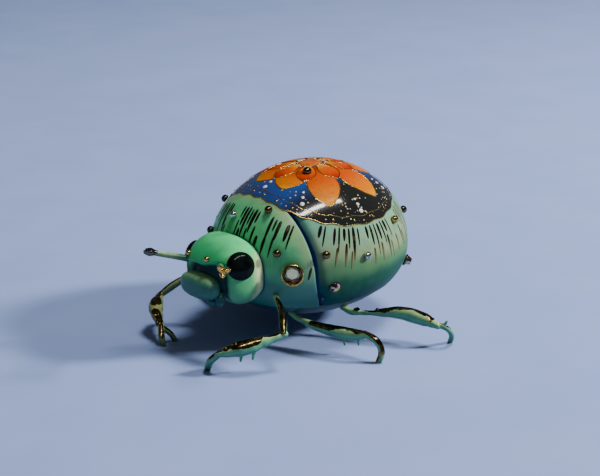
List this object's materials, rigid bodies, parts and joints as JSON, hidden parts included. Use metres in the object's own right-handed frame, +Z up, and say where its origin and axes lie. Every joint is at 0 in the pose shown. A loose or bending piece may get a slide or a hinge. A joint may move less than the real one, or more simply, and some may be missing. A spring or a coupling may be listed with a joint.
{
  "type": "painted beetle figure",
  "caption": "Small standing beetle figure with a domed painted shell, round head, jointed-looking legs, gold studs and set crystals.",
  "frame": {"origin": "centre of the figure's footprint, on the surface that its feet stand on", "axes": "+Z up, the head points to -Y, the figure's left side is +X"},
  "size_m": [0.0749, 0.0656, 0.0394],
  "materials": {
    "wing_case_paint": "satin airbrushed glaze with a gloss painted design",
    "pronotum_paint": "satin airbrushed glaze",
    "head_paint": "satin airbrushed glaze",
    "muzzle_paint": "satin airbrushed glaze",
    "belly_paint": "satin glaze",
    "leg_paint": "satin glaze with gold lustre patches",
    "antenna_paint": "satin glaze with a gold lustre club",
    "eye_gloss": "high gloss",
    "gold": "polished, slightly aged",
    "crystal": "cut and polished"
  },
  "bodies": {
    "root": {"head": "head_paint", "muzzle": "muzzle_paint", "eye_left": "eye_gloss", "eye_right": "eye_gloss", "antenna_left": "antenna_paint", "antenna_right": "antenna_paint", "face_bead_left": "gold", "face_bead_right": "gold", "pronotum": "pronotum_paint", "wing_case": "wing_case_paint", "belly": "belly_paint", "leg_front_left": "leg_paint", "leg_front_right": "leg_paint", "leg_middle_left": "leg_paint", "leg_middle_right": "leg_paint", "leg_hind_left": "leg_paint", "leg_hind_right": "leg_paint", "stud_front_middle": "gold", "stud_front_left": "gold", "stud_front_far": "gold", "stud_collar_left": "gold", "stud_collar_right": "gold", "stud_shoulder_left": "gold", "stud_shoulder_right": "gold", "stud_flank_left": "gold", "stud_flank_right": "gold", "stud_back_left": "gold", "stud_back_right": "gold", "stud_rear_left": "gold", "stud_rear_right": "gold", "stud_dot_left": "gold", "stud_dot_right": "gold", "stud_top": "gold", "crystal_large_left_setting": "gold", "crystal_large_left_stone": "crystal", "crystal_large_right_setting": "gold", "crystal_large_right_stone": "crystal", "crystal_small_left_setting": "gold", "crystal_small_left_stone": "crystal", "crystal_small_right_setting": "gold", "crystal_small_right_stone": "crystal", "crystal_tail_left_setting": "gold", "crystal_tail_left_stone": "crystal", "crystal_tail_right_setting": "gold", "crystal_tail_right_stone": "crystal"}
  },
  "joints": []
}
